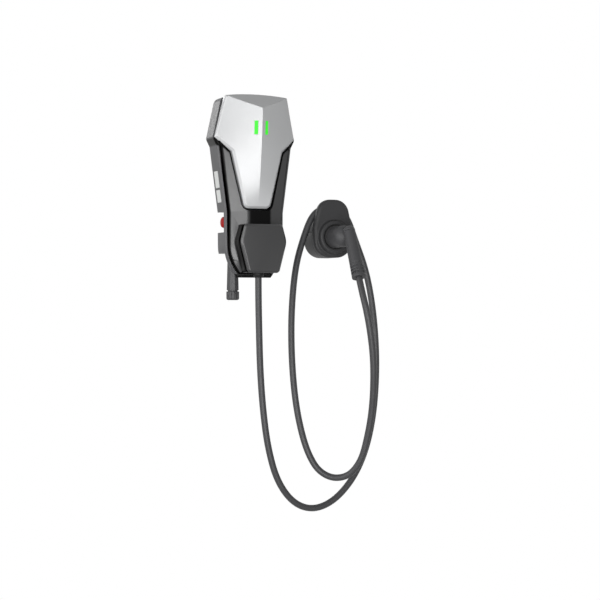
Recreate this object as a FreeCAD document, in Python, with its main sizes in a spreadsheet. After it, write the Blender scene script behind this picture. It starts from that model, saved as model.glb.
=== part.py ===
"""Wall-mounted charging point for electric cars, with its cable, plug and plug holster.

Frame: X to the right, Y into the wall, Z up, in millimetres. The wall is the plane Y = 0, and the
origin is the middle of the wall bracket's back face. A distance from the wall is called a depth, so a
depth is -Y.
"""
import FreeCAD, Part
import math
import os

import Sketcher
from FreeCAD import Placement, Rotation, Vector

SIZES = {
    # Outline of the wallbox, seen from the front
    "head_top_half": 84.5, "head_top_rise": 219, "head_arch": 6, "head_half": 106.5, "head_rise": 120,
    "waist_half": 97, "waist_rise": 101, "hip_half": 76, "hip_drop": 58, "foot_half": 75.3,
    "foot_drop": 172, "foot_round": 110, "base_half": 44, "base_drop": 216.5, "head_round": 12,
    "head_top_round": 18,
    # Rear shell, from the wall to its rim
    "bracket_depth": 8, "tray_depth": 36, "flange": 3, "rim_depth": 7, "rim_bevel": 4, "rim_wide": 5,
    "wall_gap": 1,
    "wall": 3.5, "flange_reach": 17.5, "head_wall_depth": 3, "entry_drop": 158, "fit_gap": 0.3,
    # Notch in the left flank, with the stop button
    "notch_half": 24.7, "notch_drop": 82.3, "notch_floor": 50, "stop_depth": 26,
    "stop_head_round": 13.5, "stop_head_thick": 13, "stop_reach": 75, "stop_stem_round": 6.5,
    "stop_bore": 6.58, "stop_tip_round": 4, "stop_tip_long": 6, "stop_tip_bore": 4.05,
    "stop_collar_round": 15, "stop_collar_thick": 7, "stop_tube_round": 9.5, "stop_tube_long": 8.5,
    "lock_nut_round": 14, "lock_nut_thick": 5, "contact_block_wide": 30, "contact_block_deep": 22,
    "contact_block_long": 22, "contact_bore": 7.2, "contact_bore_long": 8, "stop_stem_end": 38.5,
    "button_room": 17,
    # Wall bracket
    "bracket_half": 55, "bracket_rise": 108, "sheet": 2, "lip": 22, "fold": 3,
    "anchor_half": 40, "anchor_rise": 80, "anchor_round": 3.5, "shell_screw_half": 35,
    "shell_screw_rise": 97, "shell_screw_round": 2.5, "shell_screw_head": 4.5,
    "shell_screw_head_thick": 3, "shell_screw_long": 8.5, "screw_socket": 1.4,
    # Front shell
    "seal_thick": 1.5, "seal_gap": 5.3, "seal_reach": 16.5, "skirt_inset": 8.5, "skirt_depth": 15.5,
    "front_wall": 3, "nose_half": 28, "nose_foot_half": 22, "nose_tip_half": 14, "nose_depth": 80,
    "nose_rise": 96, "nose_knee_rise": 70, "nose_drop": 192, "nose_foot_drop": 178,
    "crown_half": 70, "crown_rise": 206, "belly_half": 67.5, "belly_foot_drop": 168.7,
    "chin_half": 41, "chin_drop": 207, "chest_half": 88.5, "belly_round": 100, "nose_round": 60,
    "shelf": 3.7, "shelf_inset": 4,
    "shelf_rise": 101.5, "skirt_rise": 112, "pocket_floor": 60, "pocket_gap": 5.5,
    # Trim cover
    "trim_tail_half": 33, "trim_tail_drop": 49.5, "trim_tail_round": 14, "trim_neck_half": 64.8,
    "trim_neck_rise": 87, "trim_half": 103.6, "trim_rise": 122, "trim_top_half": 80, "trim_top_rise": 221,
    "trim_wall": 2.5, "ridge_top_rise": 190, "ridge_top_depth": 110.2, "brow_depth": 66,
    "brow_rise": 225, "trim_bevel": 5, "hull_half": 110, "hull_back": 10,
    # Reader cover and the neck that it stands on
    "reader_top_half": 48, "reader_top_drop": 89, "reader_half": 59.6, "reader_mid_drop": 131,
    "reader_foot_half": 40, "reader_foot_drop": 206, "reader_depth": 120, "reader_lid": 7,
    "reader_top_round": 8, "reader_mid_round": 40, "reader_foot_round": 10, "reader_wall": 2.5,
    "reader_bevel": 5, "reader_groove": 18, "collar_inset": 1, "neck_inset": 7, "neck_lip": 3.5,
    # Status light
    "light_wide": 7, "light_tall": 32, "light_rise": 143, "light_shift": 13.5, "light_base": 38,
    "light_base_thick": 2.4,
    "light_proud": 0.6, "status_depth": 84, "status_post": 3, "status_post_pitch": 32,
    # Boards and electrical parts
    "board": 1.6, "power_half": 62, "power_rise": 92, "power_drop": 146, "board_depth": 20,
    "control_half": 60, "control_rise": 205, "control_base_rise": 104, "post_round": 4,
    "post_stud": 1.6, "post_stud_long": 4, "post_foot": 2, "post_inset": 6, "relay_wide": 32,
    "relay_tall": 50, "relay_deep": 22, "relay_shift": 19, "relay_rise": 50,
    "sensor_round": 19, "sensor_hole": 11, "sensor_thick": 14, "sensor_drop": 30,
    "terminal_wide": 50, "terminal_tall": 22, "terminal_deep": 20,
    "terminal_shift": 33, "terminal_pitch": 9.5, "terminal_hole": 3, "terminal_hole_deep": 9,
    "status_half": 20, "status_tall": 44, "reader_board_half": 26, "reader_board_tall": 70,
    "reader_post": 3, "reader_post_tall": 1.4,
    # Screws that hold the front shell
    "cover_screw_round": 2, "cover_screw_head": 3.8, "cover_screw_head_thick": 2.6,
    "cover_screw_long": 18, "cover_screw_rise": 196, "cover_screw_half": 76,
    "cover_screw_low_rise": 134, "cover_screw_low_half": 90, "foot_screw_half": 24,
    "foot_screw_drop": 190, "boss_round": 5.5, "boss_tall": 12,
    # Supply gland under the left side
    "supply_shift": 47, "supply_depth": 29, "sleeve_round": 15.6, "sleeve_top_round": 13.2,
    "sleeve_long": 89, "sleeve_neck": 12.2, "sleeve_neck_long": 3, "gland_nut_long": 21,
    "gland_nut_round": 15.6, "supply_bore": 9, "gland_thread": 11, "gland_thread_long": 10,
    "gland_spigot": 11.5, "gland_spigot_long": 6, "gland_seal_long": 8, "gland_nut_dome": 5,
    "gland_flute": 1.4,
    # Outlet gland of the charging cable, and the vent plug
    "cable_round": 8, "outlet_back": 15, "outlet_round": 13, "outlet_drop": 6, "outlet_tail": 9.5,
    "outlet_nut_round": 13, "outlet_nut_thick": 7, "outlet_thread": 10, "outlet_thread_long": 11,
    "outlet_wire_round": 5, "vent_round": 6, "vent_shift": 30, "vent_drop": 4, "vent_spigot": 4,
    "vent_spigot_long": 6,
    # Holster
    "holster_shift": 206, "holster_drop": 115, "shield_half": 52, "shield_top_half": 36,
    "shield_rise": 93, "shield_shoulder_rise": 22, "shield_foot_drop": 51, "shield_foot_round": 42,
    "shield_top_round": 36, "holster_plate": 6, "saddle_round": 45, "saddle_rise": 19.5,
    "saddle_depth": 50, "block_rise": 10, "tongue_thick": 16, "tongue_round": 7,
    "collar_round": 42.5, "collar_face_round": 40, "collar_depth": 78, "socket_round": 28.7,
    "socket_wall": 2.8, "socket_floor": 12, "holster_wall": 3, "holster_screw_half": 32,
    # Plug
    "plug_nose_round": 27.6, "plug_nose_tip": 22, "plug_nose_floor": 58, "plug_nose_wall": 2.6,
    "plug_nose_flat": 23, "barrel_round": 26.5, "barrel_back": 76, "barrel_long": 72,
    "barrel_edge": 58, "barrel_curve": 20, "seal_ring_round": 28.2, "seal_ring_long": 3,
    "elbow_depth": 162, "handle_lean": 26, "handle_round": 16, "handle_top_round": 14.5,
    "handle_top": 11, "handle_long": 89, "boot_long": 36, "boot_round": 17, "boot_slot": 3,
    "boot_slot_deep": 3, "boot_slot_pitch": 8, "boot_rib": 4, "cap_long": 13, "cap_dome": 11,
    "handle_seat": 15.3,
    "pin_round": 5, "pin_bore": 3, "pin_long": 32, "pin_side": 14.5, "pin_low_side": 8,
    "pin_low_drop": 12.6, "signal_round": 3.2, "signal_bore": 1.5, "signal_side": 8,
    "signal_rise": 10.5,
}


class Size:
    """A length that carries both its number and its formula in the sheet of sizes."""

    def __init__(self, number, formula):
        self.number = float(number)
        self.formula = formula

    def __add__(self, other):
        other = as_size(other)
        return Size(self.number + other.number, f"({self.formula} + {other.formula})")

    def __sub__(self, other):
        other = as_size(other)
        return Size(self.number - other.number, f"({self.formula} - {other.formula})")

    def __mul__(self, other):
        other = as_size(other)
        return Size(self.number * other.number, f"({self.formula} * {other.formula})")

    def __truediv__(self, other):
        other = as_size(other)
        return Size(self.number / other.number, f"({self.formula} / {other.formula})")

    def __neg__(self):
        return Size(-self.number, f"(0 - {self.formula})")

    __radd__ = __add__
    __rmul__ = __mul__

    def __rsub__(self, other):
        return as_size(other) - self


def as_size(value):
    """A plain number becomes a Size whose formula is that number."""
    return value if isinstance(value, Size) else Size(value, repr(float(value)))


class Sheet:
    """The spreadsheet of driving sizes. Each of its attributes is one Size."""

    def __init__(self, document, sizes):
        self.cells = document.addObject("Spreadsheet::Sheet", "Sizes")
        for row, (name, number) in enumerate(sizes.items(), start=1):
            self.cells.set(f"A{row}", name)
            self.cells.set(f"B{row}", str(number))
            self.cells.setAlias(f"B{row}", name)
            setattr(self, name, Size(number, f"Sizes.{name}"))


doc = FreeCAD.newDocument("wallbox")
s = Sheet(doc, SIZES)
doc.recompute()

FACING_FRONT = Rotation(Vector(1, 0, 0), 90)
FACING_LEFT = Rotation(Vector(0, 1, 0), -90)
FACING_BACK = Rotation(Vector(1, 0, 0), -90)
SIDE_ON = Rotation(Vector(1, 1, 1), 120)
UPRIGHT = Rotation()
REACH = 600
NODES = {}


def tie(thing, **formulas):
    """Bind properties of a thing to formulas of the sheet."""
    for prop, size in formulas.items():
        thing.setExpression(prop, as_size(size).formula)
    return thing


def place(thing, x=0, y=0, z=0, turn=UPRIGHT):
    """Put a thing's own origin at a point, turned, with the point bound to the sheet."""
    spot = [as_size(v) for v in (x, y, z)]
    thing.Placement = Placement(Vector(*[v.number for v in spot]), turn)
    for axis, size in zip("xyz", spot):
        thing.setExpression(f"Placement.Base.{axis}", size.formula)
    return thing


def draw(sketch, corners, rounds=None, arches=None):
    """Draw a closed outline through corners, listed anticlockwise. A round is an arc tangent to both
    sides of its corner. An arch is an arc of the given radius in place of the side after its corner.
    """
    rounds, arches = rounds or {}, arches or {}
    count = len(corners)
    corners = [(as_size(x), as_size(y)) for x, y in corners]
    spots = [Vector(x.number, y.number, 0) for x, y in corners]
    heading = [(spots[(i + 1) % count] - spots[i]).normalize() for i in range(count)]
    marks = []
    for spot, sizes in zip(spots, corners):
        mark = sketch.addGeometry(Part.Point(spot), True)
        marks.append(mark)
        across = ("DistanceX", -2, sizes[0], spot.x)
        along = ("DistanceY", -1, sizes[1], spot.y)
        for kind, axis, size, value in (across, along):
            if size.formula == repr(0.0):
                sketch.addConstraint(Sketcher.Constraint("PointOnObject", mark, 1, axis))
            else:
                row = sketch.addConstraint(Sketcher.Constraint(kind, -1, 1, mark, 1, value))
                sketch.setExpression(f"Constraints[{row}]", size.formula)
    arcs, enters, leaves = {}, {}, {}
    for i, radius in rounds.items():
        radius = as_size(radius)
        before, after = heading[i - 1], heading[i]
        turn = before.getAngle(after)
        reach = radius.number * math.tan(turn / 2)
        enters[i] = spots[i] - before * reach
        leaves[i] = spots[i] + after * reach
        left_turn = before.cross(after).z > 0
        inward = Vector(-before.y, before.x, 0) * (1 if left_turn else -1)
        centre = enters[i] + inward * radius.number
        first, last = (enters[i], leaves[i]) if left_turn else (leaves[i], enters[i])
        angles = [math.atan2((p - centre).y, (p - centre).x) for p in (first, last)]
        if angles[1] < angles[0]:
            angles[1] += 2 * math.pi
        circle = Part.Circle(centre, Vector(0, 0, 1), radius.number)
        arc = sketch.addGeometry(Part.ArcOfCircle(circle, *angles), False)
        arcs[i] = (arc, (1, 2) if left_turn else (2, 1))
        row = sketch.addConstraint(Sketcher.Constraint("Radius", arc, radius.number))
        sketch.setExpression(f"Constraints[{row}]", radius.formula)
    for i in range(count):
        j = (i + 1) % count
        start, end = leaves.get(i, spots[i]), enters.get(j, spots[j])
        if i in arches:
            radius = as_size(arches[i])
            across = end - start
            to_left = Vector(-across.y, across.x, 0).normalize()
            fall = math.sqrt(radius.number ** 2 - (across.Length / 2) ** 2)
            centre = (start + end) * 0.5 + to_left * fall
            angles = [math.atan2((p - centre).y, (p - centre).x) for p in (start, end)]
            if angles[1] < angles[0]:
                angles[1] += 2 * math.pi
            circle = Part.Circle(centre, Vector(0, 0, 1), radius.number)
            side = sketch.addGeometry(Part.ArcOfCircle(circle, *angles), False)
            row = sketch.addConstraint(Sketcher.Constraint("Radius", side, radius.number))
            sketch.setExpression(f"Constraints[{row}]", radius.formula)
        else:
            side = sketch.addGeometry(Part.LineSegment(start, end), False)
        for k, at in ((i, 1), (j, 2)):
            if k in arcs:
                arc, ends = arcs[k]
                touch = ends[1] if at == 1 else ends[0]
                sketch.addConstraint(Sketcher.Constraint("Tangent", side, at, arc, touch))
                sketch.addConstraint(Sketcher.Constraint("PointOnObject", marks[k], 1, side))
            else:
                sketch.addConstraint(Sketcher.Constraint("Coincident", side, at, marks[k], 1))


def both_sides(right, rounds=None):
    """Mirror the right half of an outline, listed from the bottom up, and its rounds."""
    count = len(right)
    corners = list(right) + [(-as_size(x), y) for x, y in reversed(right)]
    rounds = rounds or {}
    mirrored = {2 * count - 1 - i: radius for i, radius in rounds.items()}
    return corners, {**rounds, **mirrored}


def front_outline(name, right, rounds=None, arch=None, x=0, depth=0, z=0):
    """A sketch that faces the front, of an outline that is the same on both sides."""
    sketch = doc.addObject("Sketcher::SketchObject", name)
    place(sketch, x, -as_size(depth), z, FACING_FRONT)
    corners, rounds = both_sides(right, rounds)
    draw(sketch, corners, rounds, {len(right) - 1: arch} if arch else None)
    doc.recompute()
    return sketch


def extruded(name, profile, length, x=0, y=0, along=Vector(0, -1, 0)):
    """A profile drawn out along a direction."""
    bar = doc.addObject("Part::Extrusion", name)
    bar.Base = profile
    bar.DirMode = "Custom"
    bar.Dir = along
    bar.Solid = True
    tie(bar, LengthFwd=length)
    return place(bar, x, y)


def slab(name, outline, back, front, inset=None):
    """A plate of an outline's form between two depths, with its edge moved in by inset."""
    profile = outline
    if inset is not None:
        profile = doc.addObject("Part::Offset2D", name + "_edge")
        profile.Source = outline
        profile.Value = -as_size(inset).number
        profile.Join = "Intersection"
        tie(profile, Value=-as_size(inset))
    return extruded(name, profile, as_size(front) - back, y=-as_size(back))


def block(name, x, y, z, long, deep, tall):
    """A box from its lowest corner."""
    box = tie(doc.addObject("Part::Box", name), Length=long, Width=deep, Height=tall)
    return place(box, x, y, z)


def rod(name, radius, height, x=0, y=0, z=0, turn=UPRIGHT):
    """A cylinder from the middle of one end."""
    bar = tie(doc.addObject("Part::Cylinder", name), Radius=radius, Height=height)
    return place(bar, x, y, z, turn)


def fuse(name, *things):
    """Join things into one solid."""
    whole = doc.addObject("Part::MultiFuse", name)
    whole.Shapes = list(things)
    whole.Refine = True
    return whole


def group(name, *things):
    """Keep things as separate solids of one piece."""
    whole = doc.addObject("Part::Compound", name)
    whole.Links = list(things)
    return whole


def cut(name, base, *tools):
    """Take tools out of a base."""
    rest = doc.addObject("Part::Cut", name)
    rest.Base = base
    rest.Tool = tools[0] if len(tools) == 1 else fuse(name + "_tools", *tools)
    rest.Refine = True
    return rest


def common(name, *things):
    """What all things share."""
    shared = doc.addObject("Part::MultiCommon", name)
    shared.Shapes = list(things)
    shared.Refine = True
    return shared


def solid(name, shape):
    """A shape that the code works out from the sheet's sizes."""
    feature = doc.addObject("Part::Feature", name)
    feature.Shape = shape
    return feature


def moved(name, thing, x=0, y=0, z=0, turn=UPRIGHT):
    """The same thing again, moved and turned."""
    copy = doc.addObject("Part::Compound", name)
    copy.Links = [thing]
    return place(copy, x, y, z, turn)


def above(name, rise):
    """Everything higher than a level."""
    return block(name, -REACH, -REACH, rise, 2 * REACH, 2 * REACH, REACH)


def below(name, rise):
    """Everything lower than a level."""
    return block(name, -REACH, -REACH, as_size(rise) - REACH, 2 * REACH, 2 * REACH, REACH)


def edged(name, thing, kind, size, picks):
    """Bevel or round the edges of a thing whose middle point passes a test."""
    doc.recompute()
    chosen = [i for i, edge in enumerate(thing.Shape.Edges, start=1)
              if picks(edge.valueAt((edge.FirstParameter + edge.LastParameter) / 2))]
    result = doc.addObject("Part::" + kind, name)
    result.Base = thing
    result.Edges = [(i, size.number, size.number) for i in chosen]
    return result


def turned(name, profile, rounds=None):
    """A body turned about its own Z axis from corners of radius and height."""
    body = doc.addObject("PartDesign::Body", name)
    sketch = body.newObject("Sketcher::SketchObject", name + "_profile")
    sketch.AttachmentSupport = [(origin_plane(body, "XZ_Plane"), "")]
    sketch.MapMode = "FlatFace"
    draw(sketch, profile, rounds)
    doc.recompute()
    lathe = body.newObject("PartDesign::Revolution", name + "_turned")
    lathe.Profile = sketch
    lathe.ReferenceAxis = (sketch, ["V_Axis"])
    lathe.Angle = 360
    body.Tip = lathe
    doc.recompute()
    return body


def origin_plane(body, role):
    """One of a body's own three planes."""
    return next(plane for plane in body.Origin.OriginFeatures if plane.Role == role)


def node(name, thing):
    """Name a finished sub-part."""
    thing.Label = name
    NODES[name] = thing
    return thing


# Rear shell: a moulded tray with a flared head, a bevelled rim and a notch for the stop button
back_depth = s.bracket_depth
flange_depth = back_depth + s.tray_depth
seal_depth = flange_depth + s.flange
skirt_back = seal_depth + s.seal_thick
rim_front = seal_depth + s.rim_depth
head_arch_radius = s.head_top_half * s.head_top_half / (2 * s.head_arch) + s.head_arch / 2
body_outline = front_outline("body_outline", [
    (s.base_half, -s.base_drop),
    (s.foot_half, -s.foot_drop),
    (s.hip_half, -s.hip_drop),
    (s.waist_half, s.waist_rise),
    (s.head_half, s.head_rise),
    (s.head_top_half, s.head_top_rise),
], {1: s.foot_round, 4: s.head_round, 5: s.head_top_round}, head_arch_radius)


def outline_block(name, inset, back, front, low=None, high=None):
    """A slab of the wallbox outline, kept between two levels."""
    plate = slab(name + "_all", body_outline, back, front, inset)
    parts = [plate]
    if low is not None:
        parts.append(above(name + "_low", low))
    if high is not None:
        parts.append(below(name + "_high", high))
    return common(name, *parts)


rear_outside = fuse(
    "rear_outside",
    outline_block("tray", None, s.wall_gap, flange_depth, low=-s.entry_drop),
    slab("flange_plate", body_outline, flange_depth, seal_depth),
    outline_block("head_wall", None, flange_depth, seal_depth + s.head_wall_depth, low=s.waist_rise),
)
rim_bar = slab("rim_bar", body_outline, flange_depth, rim_front)
rim_edge = edged("rim_edge", rim_bar, "Chamfer", s.rim_bevel,
                 lambda p: abs(p.y + rim_front.number) < 0.01)
rim = common("rim", rim_edge, below("rim_top", s.waist_rise))
entry_floor = -s.entry_drop + s.wall
rear_hollow = fuse(
    "rear_hollow",
    outline_block("bracket_room", s.wall, 0, back_depth, low=entry_floor),
    outline_block("tray_hollow", s.wall, back_depth + s.wall, flange_depth, low=entry_floor),
    outline_block("flange_opening", s.flange_reach, flange_depth - 1, seal_depth + 1, low=entry_floor),
    outline_block("head_hollow", s.wall, seal_depth, rim_front + 1, low=s.waist_rise),
    outline_block("rim_hollow", s.rim_wide, seal_depth, rim_front + 1, high=s.waist_rise + 1),
)
rear_walls = cut("rear_walls", fuse("rear_full", rear_outside, rim), rear_hollow)

notch_low = -s.notch_drop - s.notch_half
notch_box = block("notch_box", -REACH, -flange_depth, notch_low - s.wall,
                  REACH - s.notch_floor + s.wall, s.tray_depth, 2 * s.notch_half + 2 * s.wall)
notch_walls = common("notch_walls", notch_box, slab("notch_reach", body_outline, back_depth, flange_depth))
notch = block("notch", -REACH, -flange_depth, notch_low,
              REACH - s.notch_floor, flange_depth, 2 * s.notch_half)

cover_spots = [
    (s.cover_screw_half, s.cover_screw_rise), (-s.cover_screw_half, s.cover_screw_rise),
    (s.cover_screw_low_half, s.cover_screw_low_rise), (-s.cover_screw_low_half, s.cover_screw_low_rise),
]
foot_spots = [(s.foot_screw_half, -s.foot_screw_drop), (-s.foot_screw_half, -s.foot_screw_drop)]
bracket_spots = [(s.shell_screw_half, s.shell_screw_rise), (-s.shell_screw_half, s.shell_screw_rise),
                 (s.shell_screw_half, -s.shell_screw_rise), (-s.shell_screw_half, -s.shell_screw_rise)]
power_posts = [
    (s.power_half - s.post_inset, s.power_rise - s.post_inset),
    (-s.power_half + s.post_inset, s.power_rise - s.post_inset),
    (s.power_half - s.post_inset, -s.power_drop + s.post_inset),
    (-s.power_half + s.post_inset, -s.power_drop + s.post_inset),
]
control_posts = [
    (s.control_half - s.post_inset, s.control_rise - s.post_inset),
    (-s.control_half + s.post_inset, s.control_rise - s.post_inset),
    (s.control_half - s.post_inset, s.control_base_rise + s.post_inset),
    (-s.control_half + s.post_inset, s.control_base_rise + s.post_inset),
]


def rods(name, spots, radius, back, front):
    """Equal cylinders along the depth at several spots."""
    return [rod(f"{name}_{i}", radius, as_size(front) - back, x, -as_size(back), z, FACING_FRONT)
            for i, (x, z) in enumerate(spots, start=1)]


tray_floor_depth = back_depth + s.wall
rear_bosses = rods("rear_boss", cover_spots, s.boss_round, flange_depth - s.boss_tall, flange_depth)
rear_holes = (
    rods("cover_hole", cover_spots, s.cover_screw_round, flange_depth - s.boss_tall, seal_depth)
    + rods("foot_hole", foot_spots, s.cover_screw_round, flange_depth, seal_depth)
    + rods("bracket_hole", bracket_spots, s.shell_screw_round, back_depth, tray_floor_depth)
    + rods("post_hole", power_posts + control_posts, s.post_foot, tray_floor_depth - s.post_foot,
           tray_floor_depth)
)
stop_x = -s.notch_floor + s.wall
stop_hole = rod("stop_hole", s.stop_tube_round + s.fit_gap, s.wall, stop_x, -s.stop_depth,
                -s.notch_drop, FACING_LEFT)
supply_hole = rod("supply_hole", s.gland_thread + s.fit_gap, s.wall, -s.supply_shift, -s.supply_depth,
                  -s.entry_drop)
vent_hole = rod("vent_hole", s.vent_spigot + s.fit_gap, s.wall, s.vent_shift, -s.supply_depth,
                -s.entry_drop)
node("rear_shell", cut("rear_shell", fuse("rear_solid", rear_walls, notch_walls, *rear_bosses),
                       notch, stop_hole, supply_hole, vent_hole, *rear_holes))

# Wall bracket: one folded sheet, with a lip at each end that stands off the wall
web = s.bracket_rise - s.lip
lip_back = back_depth - s.sheet
fold_inside = s.fold - s.sheet
bracket_profile = doc.addObject("Sketcher::SketchObject", "bracket_profile")
place(bracket_profile, turn=SIDE_ON)
draw(bracket_profile, [
    (-back_depth, -s.bracket_rise), (-lip_back, -s.bracket_rise), (-lip_back, -web - s.sheet),
    (0, -web - s.sheet), (0, web + s.sheet), (-lip_back, web + s.sheet), (-lip_back, s.bracket_rise),
    (-back_depth, s.bracket_rise), (-back_depth, web), (-s.sheet, web), (-s.sheet, -web),
    (-back_depth, -web),
], {2: fold_inside, 3: s.fold, 4: s.fold, 5: fold_inside,
    8: s.fold, 9: fold_inside, 10: fold_inside, 11: s.fold})
doc.recompute()
bracket_bar = extruded("bracket_bar", bracket_profile, 2 * s.bracket_half, x=-s.bracket_half,
                       along=Vector(1, 0, 0))
anchor_spots = [(s.anchor_half, s.anchor_rise), (-s.anchor_half, s.anchor_rise),
                (s.anchor_half, -s.anchor_rise), (-s.anchor_half, -s.anchor_rise)]
node("wall_bracket", cut("wall_bracket", bracket_bar,
                         *rods("anchor_hole", anchor_spots, s.anchor_round, 0, s.sheet),
                         *rods("lip_hole", bracket_spots, s.shell_screw_round, lip_back, back_depth)))


def screw(name, radius, length, head_radius, head_thick):
    """A cap screw with a socket, its tip at its own origin."""
    blank = turned(name + "_blank", [
        (0, 0), (radius, 0), (radius, length), (head_radius, length),
        (head_radius, length + head_thick), (0, length + head_thick),
    ], {4: head_thick / 4})
    socket = doc.addObject("Part::Prism", name + "_socket")
    socket.Polygon = 6
    tie(socket, Circumradius=s.screw_socket, Height=head_thick)
    place(socket, z=length + head_thick / 2)
    return cut(name, blank, socket)


shell_screw = screw("shell_screw", s.shell_screw_round, s.shell_screw_long, s.shell_screw_head,
                    s.shell_screw_head_thick)
shell_screw_tip = -(tray_floor_depth - s.shell_screw_long)
node("bracket_screws", group("bracket_screws", *[
    moved(f"bracket_screw_{i}", shell_screw, x, shell_screw_tip, z, FACING_FRONT)
    for i, (x, z) in enumerate(bracket_spots, start=1)]))

# Parting seal: a flat ring between the rear shell and the front shell
seal_full = slab("seal_full", body_outline, seal_depth, skirt_back, s.seal_gap)
seal_window = slab("seal_window", body_outline, seal_depth, skirt_back, s.seal_reach)
node("parting_seal", cut("parting_seal", seal_full, seal_window,
                         *rods("seal_hole", cover_spots, s.cover_screw_round, seal_depth, skirt_back)))

# Outlines of the trim cover and of the reader cover
trim_arch_radius = s.trim_top_half * s.trim_top_half / (2 * s.head_arch) + s.head_arch / 2
trim_outline = front_outline("trim_outline", [
    (s.trim_tail_half, -s.trim_tail_drop),
    (s.trim_neck_half, s.trim_neck_rise),
    (s.trim_half, s.trim_rise),
    (s.trim_top_half, s.trim_top_rise),
], {0: s.trim_tail_round}, trim_arch_radius)
reader_outline = front_outline("reader_outline", [
    (s.reader_foot_half, -s.reader_foot_drop),
    (s.reader_half, -s.reader_mid_drop),
    (s.reader_top_half, -s.reader_top_drop),
], {0: s.reader_foot_round, 1: s.reader_mid_round, 2: s.reader_top_round})

# Front shell: a faceted hull on a skirt, with a pocket for the trim cover and a neck for the reader
shelf_front = skirt_back + s.shelf
belly_depth = skirt_back + s.skirt_depth


def belly(name, depth, inset=0):
    """Outline of the hull where it meets the skirt."""
    return front_outline(name, [
        (s.chin_half - inset, -s.chin_drop + inset), (s.belly_half - inset, -s.belly_foot_drop),
        (s.belly_half - inset, -s.hip_drop), (s.chest_half - inset, s.waist_rise),
        (s.crown_half - inset, s.crown_rise - inset),
    ], {1: s.belly_round}, depth=depth)


def nose(name, depth, inset=0):
    """Outline of the flat front of the hull."""
    return front_outline(name, [
        (s.nose_foot_half - inset, -s.nose_drop + inset), (s.nose_half - inset, -s.nose_foot_drop),
        (s.nose_half - inset, -s.hip_drop), (s.nose_half - inset, s.nose_knee_rise),
        (s.nose_tip_half - inset, s.nose_rise - inset),
    ], {1: s.nose_round}, depth=depth)


def ruled(name, *sections):
    """A solid with straight lines between its sections."""
    loft = doc.addObject("Part::Loft", name)
    loft.Sections = list(sections)
    loft.Solid = True
    loft.Ruled = True
    return loft


hull = ruled("hull", belly("hull_belly", belly_depth), nose("hull_nose", s.nose_depth))
belly_base = slab("belly_base", belly("belly_flat", 0), skirt_back, belly_depth)
reader_back = s.reader_depth - s.reader_lid
collar_front = reader_back - s.reader_groove
collar = slab("collar", reader_outline, s.pocket_floor, collar_front, s.collar_inset)
neck = slab("neck", reader_outline, s.pocket_floor, reader_back, s.neck_inset)
lid_inset = s.reader_bevel + 1
lip_inset = lid_inset + s.fit_gap
reader_board_back = reader_back + s.reader_post_tall
neck_lip = cut("neck_lip",
               slab("neck_lip_full", reader_outline, reader_back, reader_back + s.neck_lip, lip_inset),
               slab("neck_lip_inside", reader_outline, reader_back, reader_back + s.neck_lip,
                    lip_inset + s.front_wall))
front_outside = fuse(
    "front_outside",
    outline_block("shelf", s.shelf_inset, skirt_back, shelf_front, low=s.shelf_rise),
    outline_block("skirt", s.skirt_inset, skirt_back, belly_depth, high=s.skirt_rise),
    belly_base, hull, collar, neck, neck_lip,
)
pocket = common("pocket", slab("pocket_all", trim_outline, s.pocket_floor, 2 * s.nose_depth,
                               -s.pocket_gap), below("pocket_top", s.skirt_rise))
pocket_back = common("pocket_back", slab("pocket_back_all", trim_outline, s.pocket_floor - s.front_wall,
                                         2 * s.nose_depth, -s.pocket_gap - s.front_wall),
                     below("pocket_back_top", s.skirt_rise + s.front_wall))
hull_hollow = fuse(
    "hull_hollow",
    ruled("hull_inside", belly("inside_belly", belly_depth - s.front_wall, s.front_wall),
          nose("inside_nose", s.nose_depth - s.front_wall, s.front_wall)),
    slab("belly_inside", belly("belly_inside_flat", 0, s.front_wall), skirt_back - 1,
         belly_depth - s.front_wall),
    slab("collar_inside", reader_outline, belly_depth - s.front_wall, collar_front - s.front_wall,
         s.collar_inset + s.front_wall),
    slab("neck_inside", reader_outline, belly_depth - s.front_wall, reader_back - s.front_wall,
         s.neck_inset + s.front_wall),
)
front_hollow = cut("front_hollow", hull_hollow, pocket_back)
reader_middle = -(s.reader_top_drop + s.reader_foot_drop) / 2
reader_post_x = s.reader_board_half - s.reader_post
reader_post_z = s.reader_board_tall / 2 - s.reader_post
reader_spots = [(side * reader_post_x, reader_middle + end * reader_post_z)
                for end in (1, -1) for side in (1, -1)]
status_spots = [(0, s.light_rise + s.status_post_pitch / 2), (0, s.light_rise - s.status_post_pitch / 2)]
front_bosses = (
    rods("foot_boss", foot_spots, s.boss_round, seal_depth, reader_back - 1)
    + rods("reader_post", reader_spots, s.reader_post, reader_back - 1, reader_board_back)
    + rods("status_post", status_spots, s.status_post, s.pocket_floor - 1, s.status_depth)
)
front_holes = (
    rods("shelf_hole", cover_spots, s.cover_screw_round, skirt_back, shelf_front)
    + rods("foot_boss_hole", foot_spots, s.cover_screw_round, seal_depth, flange_depth + s.cover_screw_long)
)
outlet_depth = collar_front - s.outlet_back
collar_bottom = -s.reader_foot_drop + s.collar_inset
outlet_hole = rod("outlet_hole", s.outlet_thread + s.fit_gap, s.front_wall + 2, 0, -outlet_depth,
                  collar_bottom - 1)
front_walls = cut("front_walls", front_outside, pocket, front_hollow)
node("front_shell", cut("front_shell", fuse("front_solid", front_walls, *front_bosses),
                        outlet_hole, *front_holes))

# Screws: four through the shelf at the head, two from behind at the foot
cover_screw = screw("cover_screw", s.cover_screw_round, s.cover_screw_long, s.cover_screw_head,
                    s.cover_screw_head_thick)
node("cover_screws", group("cover_screws", *(
    [moved(f"head_screw_{i}", cover_screw, x, s.cover_screw_long - shelf_front, z, FACING_FRONT)
     for i, (x, z) in enumerate(cover_spots, start=1)]
    + [moved(f"foot_screw_{i}", cover_screw, x, -flange_depth - s.cover_screw_long, z, FACING_BACK)
       for i, (x, z) in enumerate(foot_spots, start=1)])))

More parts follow.
